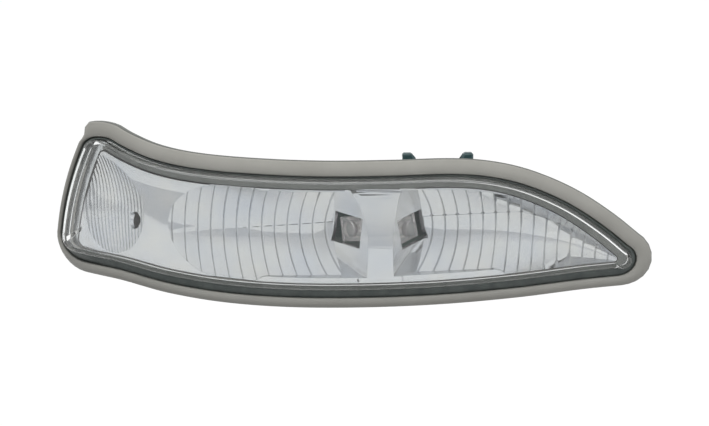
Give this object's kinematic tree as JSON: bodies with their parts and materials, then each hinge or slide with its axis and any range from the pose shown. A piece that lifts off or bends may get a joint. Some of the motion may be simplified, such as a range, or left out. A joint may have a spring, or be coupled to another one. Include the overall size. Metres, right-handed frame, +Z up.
{
  "type": "vehicle indicator lamp",
  "caption": "Long curved indicator lamp for a car's door mirror: clear lens with an edge leg in a grey flanged housing, over a metallised reflector with fluted bowls and LEDs.",
  "frame": {"origin": "centre of the flat face of the fixing pad on the housing's back", "axes": "+X along the lamp towards its pointed inner tip, +Y backwards out of the fixing pad, away from the lens, +Z up"},
  "size_m": [0.1805, 0.0454, 0.0546],
  "materials": {
    "grey_plastic": "satin moulded",
    "clear_plastic": "clear polished",
    "dark_seal": "matt",
    "metallised_plastic": "vacuum metallised",
    "led_clear": "clear resin",
    "tinned_lead": "tinned",
    "board_green": "solder resist",
    "chip_black": "moulded",
    "black_plastic": "satin moulded",
    "zinc_steel": "zinc plated",
    "dark_plastic": "satin moulded"
  },
  "bodies": {
    "root": {"housing": "grey_plastic", "lens": "clear_plastic", "seal_bead": "dark_seal", "reflector": "metallised_plastic", "led_left": "led_clear", "led_right": "led_clear", "led_side": "led_clear", "led_left_anode": "tinned_lead", "led_left_cathode": "tinned_lead", "led_right_anode": "tinned_lead", "led_right_cathode": "tinned_lead", "led_side_anode": "tinned_lead", "led_side_cathode": "tinned_lead", "led_board_left": "board_green", "led_board_right": "board_green", "led_board_side": "board_green", "main_board": "board_green", "resistor_1": "chip_black", "resistor_2": "chip_black", "resistor_3": "chip_black", "resistor_4": "chip_black", "diode": "chip_black", "reflector_screw_left": "zinc_steel", "reflector_screw_right": "zinc_steel", "board_screw_left": "zinc_steel", "board_screw_right": "zinc_steel", "connector_shroud": "black_plastic", "terminal_plus": "tinned_lead", "terminal_minus": "tinned_lead", "vent_plug": "black_plastic", "clip_left": "dark_plastic", "clip_right": "dark_plastic"}
  },
  "joints": []
}
